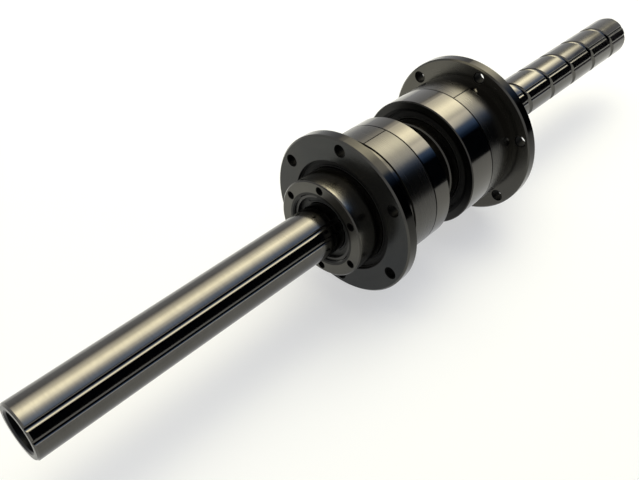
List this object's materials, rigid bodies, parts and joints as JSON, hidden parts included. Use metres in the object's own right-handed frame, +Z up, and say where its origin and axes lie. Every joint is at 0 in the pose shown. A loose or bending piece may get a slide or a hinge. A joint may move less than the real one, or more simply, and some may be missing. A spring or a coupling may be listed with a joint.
{
  "type": "ball screw spline",
  "caption": "Hollow shaft with helical and straight ball grooves in a spline nut and a screw nut that turn in flanged bearings.",
  "frame": {"origin": "on the shaft's axis at the back face of the spline unit's flange", "axes": "+X along the shaft from the spline unit towards the screw unit, +Z up, +Y away from the side the picture looks at"},
  "size_m": [0.442, 0.088, 0.088],
  "materials": {
    "ring_steel": "satin",
    "polished_ring_steel": "polished",
    "band_steel": "satin",
    "dark_shim": "matt",
    "bearing_seal_rubber": "matt",
    "shaft_seal_rubber": "matt",
    "nut_steel": "ground",
    "cap_plastic": "matt",
    "spring_steel": "black",
    "ball_steel": "polished",
    "shaft_steel": "ground and polished"
  },
  "bodies": {
    "frame": {"spline_outer_ring": "ring_steel", "spline_split_band": "band_steel", "spline_shim": "dark_shim", "spline_end_ring": "polished_ring_steel", "spline_front_bearing_seal": "bearing_seal_rubber", "spline_rear_bearing_seal": "bearing_seal_rubber", "screw_outer_ring": "ring_steel", "screw_split_band": "band_steel", "screw_shim": "dark_shim", "screw_end_ring": "polished_ring_steel", "screw_front_bearing_seal": "bearing_seal_rubber", "screw_rear_bearing_seal": "bearing_seal_rubber"},
    "spline_nut_group": {"spline_nut": "nut_steel", "spline_balls": "ball_steel", "spline_front_cap": "cap_plastic", "spline_rear_cap": "cap_plastic", "spline_front_retaining_ring": "spring_steel", "spline_rear_retaining_ring": "spring_steel", "spline_front_shaft_seal": "shaft_seal_rubber", "spline_rear_shaft_seal": "shaft_seal_rubber"},
    "screw_nut_group": {"screw_nut": "nut_steel", "screw_balls": "ball_steel", "screw_front_cap": "cap_plastic", "screw_rear_cap": "cap_plastic", "screw_front_retaining_ring": "spring_steel", "screw_rear_retaining_ring": "spring_steel", "screw_front_shaft_seal": "shaft_seal_rubber", "screw_rear_shaft_seal": "shaft_seal_rubber"},
    "shaft": {"shaft": "shaft_steel"},
    "spline_cages": {"spline_front_ball_row": "ball_steel", "spline_rear_ball_row": "ball_steel"},
    "screw_cages": {"screw_front_ball_row": "ball_steel", "screw_rear_ball_row": "ball_steel"}
  },
  "joints": [
    {"name": "spline_nut_spin", "type": "hinge", "parent": "frame", "child": "spline_nut_group", "pos_m": [0.0106, 0, 0], "axis": [1, 0, 0], "continuous": true},
    {"name": "screw_nut_spin", "type": "hinge", "parent": "spline_nut_group", "child": "screw_nut_group", "pos_m": [0.0808, 0, 0], "axis": [1, 0, 0], "range_deg": [-792, 1800]},
    {"name": "shaft_travel", "type": "slide", "parent": "spline_nut_group", "child": "shaft", "axis": [1, 0, 0], "range_m": [-0.1251, 0.0551]},
    {"name": "spline_cage_spin", "type": "hinge", "parent": "frame", "child": "spline_cages", "pos_m": [0.0222, 0, 0], "axis": [1, 0, 0], "continuous": true},
    {"name": "screw_cage_spin", "type": "hinge", "parent": "spline_cages", "child": "screw_cages", "pos_m": [0.0692, 0, 0], "axis": [1, 0, 0], "range_deg": [-380, 850]}
  ],
  "couplings": [
    {"joint": "shaft_travel", "follows": "screw_nut_spin", "m_per_rad": -0.0039789},
    {"joint": "spline_cage_spin", "follows": "spline_nut_spin", "ratio": 0.46939},
    {"joint": "screw_cage_spin", "follows": "screw_nut_spin", "ratio": 0.46939}
  ]
}
